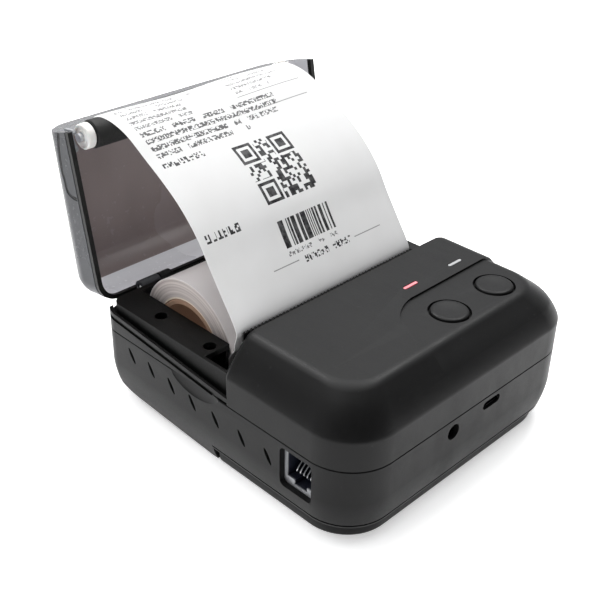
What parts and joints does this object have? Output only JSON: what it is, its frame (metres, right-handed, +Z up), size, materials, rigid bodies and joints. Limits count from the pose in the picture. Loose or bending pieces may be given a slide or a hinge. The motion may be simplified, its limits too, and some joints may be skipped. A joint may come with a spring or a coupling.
{
  "type": "receipt printer",
  "caption": "Compact battery receipt printer: black housing, smoky lid standing open over a paper roll in its bay, printed slip curling back over the lid, two round keys.",
  "frame": {"origin": "on the flat underside of the base plate, below the middle of the housing", "axes": "+X to the right seen from the front, +Y from the front face towards the hinge, +Z up"},
  "size_m": [0.1098, 0.144, 0.1009],
  "materials": {
    "shell_black": "fine satin-matte moulded ABS",
    "frame_black": "matte moulded plastic, darker inside the paper bay",
    "button_black": "satin moulded plastic key caps",
    "smoke": "smoky translucent polycarbonate, glossy",
    "seal_rubber": "soft black seal",
    "roller_rubber": "ground black silicone rubber",
    "foot_rubber": "matte rubber",
    "white_plastic": "white acetal",
    "grey_plastic": "grey moulded plastic",
    "steel": "zinc-plated steel",
    "aluminium": "milled aluminium heat sink",
    "ceramic": "glazed alumina print strip",
    "board": "green solder mask",
    "flex": "polyimide flat cable",
    "battery": "shrink sleeve over two cells",
    "red_light": "lit red light guide",
    "white_light": "lit white light guide",
    "paper": "thermal paper, smooth and slightly sheened",
    "cardboard": "brown paperboard core"
  },
  "bodies": {
    "housing": {"lower_shell": "shell_black", "top_shell": "shell_black", "bay_frame": "frame_black", "base_plate": "shell_black", "paper_tub": "frame_black", "front_pad_left": "foot_rubber", "front_pad_right": "foot_rubber", "rear_foot_left": "foot_rubber", "rear_foot_right": "foot_rubber", "hinge_pin_left": "steel", "hinge_pin_right": "steel", "mech_frame": "steel", "stepper_motor": "steel", "idler_stud": "steel", "head_flex": "flex", "main_board": "board", "button_board": "board", "dc_jack": "frame_black", "usb_socket": "steel", "serial_jack": "grey_plastic", "serial_contacts": "steel", "battery_pack": "battery", "power_switch": "frame_black", "feed_switch": "frame_black", "status_light": "red_light", "charge_light": "white_light", "status_led": "white_plastic", "charge_led": "white_plastic", "paper_strip": "paper", "base_screw_1": "steel", "base_screw_2": "steel", "base_screw_3": "steel", "base_screw_4": "steel", "board_screw_1": "steel", "board_screw_2": "steel", "board_screw_3": "steel", "head_spring_1": "steel", "head_spring_2": "steel", "head_spring_3": "steel"},
    "lid": {"lid_shell": "smoke", "lid_seal_1": "seal_rubber", "lid_seal_2": "seal_rubber", "lid_seal_3": "seal_rubber", "lid_edge_trim": "frame_black", "platen_bracket_left": "grey_plastic", "platen_bracket_right": "grey_plastic", "platen_bush_left": "white_plastic", "platen_bush_right": "white_plastic"},
    "platen": {"platen_shaft": "steel", "platen_rubber": "roller_rubber", "platen_gear": "white_plastic"},
    "roll": {"paper_roll": "paper", "roll_core": "cardboard"},
    "head": {"print_head": "aluminium", "head_ceramic": "ceramic"},
    "pinion": {"motor_pinion": "white_plastic"},
    "idler": {"drive_idler": "white_plastic"},
    "power_key": {"power_button": "button_black"},
    "feed_key": {"feed_button": "button_black"}
  },
  "joints": [
    {"name": "lid_hinge", "type": "hinge", "parent": "housing", "child": "lid", "pos_m": [0, 0.0572, 0.0362], "axis": [1, 0, 0], "range_deg": [0, 104.7], "deforming": ["paper_strip"]},
    {"name": "platen_spin", "type": "hinge", "parent": "lid", "child": "platen", "pos_m": [0, 0.06747, 0.09156], "axis": [1, 0, 0], "continuous": true},
    {"name": "roll_spin", "type": "hinge", "parent": "housing", "child": "roll", "pos_m": [0, 0.0288, 0.0289], "axis": [1, 0, 0], "continuous": true},
    {"name": "head_pivot", "type": "hinge", "parent": "housing", "child": "head", "pos_m": [0, -0.0055, 0.0235], "axis": [1, 0, 0], "range_deg": [0, 2.5], "stiffness_Nm_per_rad": 1, "springref_deg": -2.86},
    {"name": "idler_spin", "type": "hinge", "parent": "housing", "child": "idler", "pos_m": [0, -0.00407, 0.02112], "axis": [1, 0, 0], "continuous": true},
    {"name": "pinion_spin", "type": "hinge", "parent": "housing", "child": "pinion", "pos_m": [0, -0.01402, 0.01668], "axis": [1, 0, 0], "continuous": true},
    {"name": "power_press", "type": "slide", "parent": "housing", "child": "power_key", "axis": [0, 0, -1], "range_m": [0, 0.0008], "stiffness_N_per_m": 450, "springref_m": -0.0012},
    {"name": "feed_press", "type": "slide", "parent": "housing", "child": "feed_key", "axis": [0, 0, -1], "range_m": [0, 0.0008], "stiffness_N_per_m": 450, "springref_m": -0.0012}
  ],
  "couplings": [
    {"joint": "pinion_spin", "follows": "idler_spin", "ratio": -2}
  ]
}
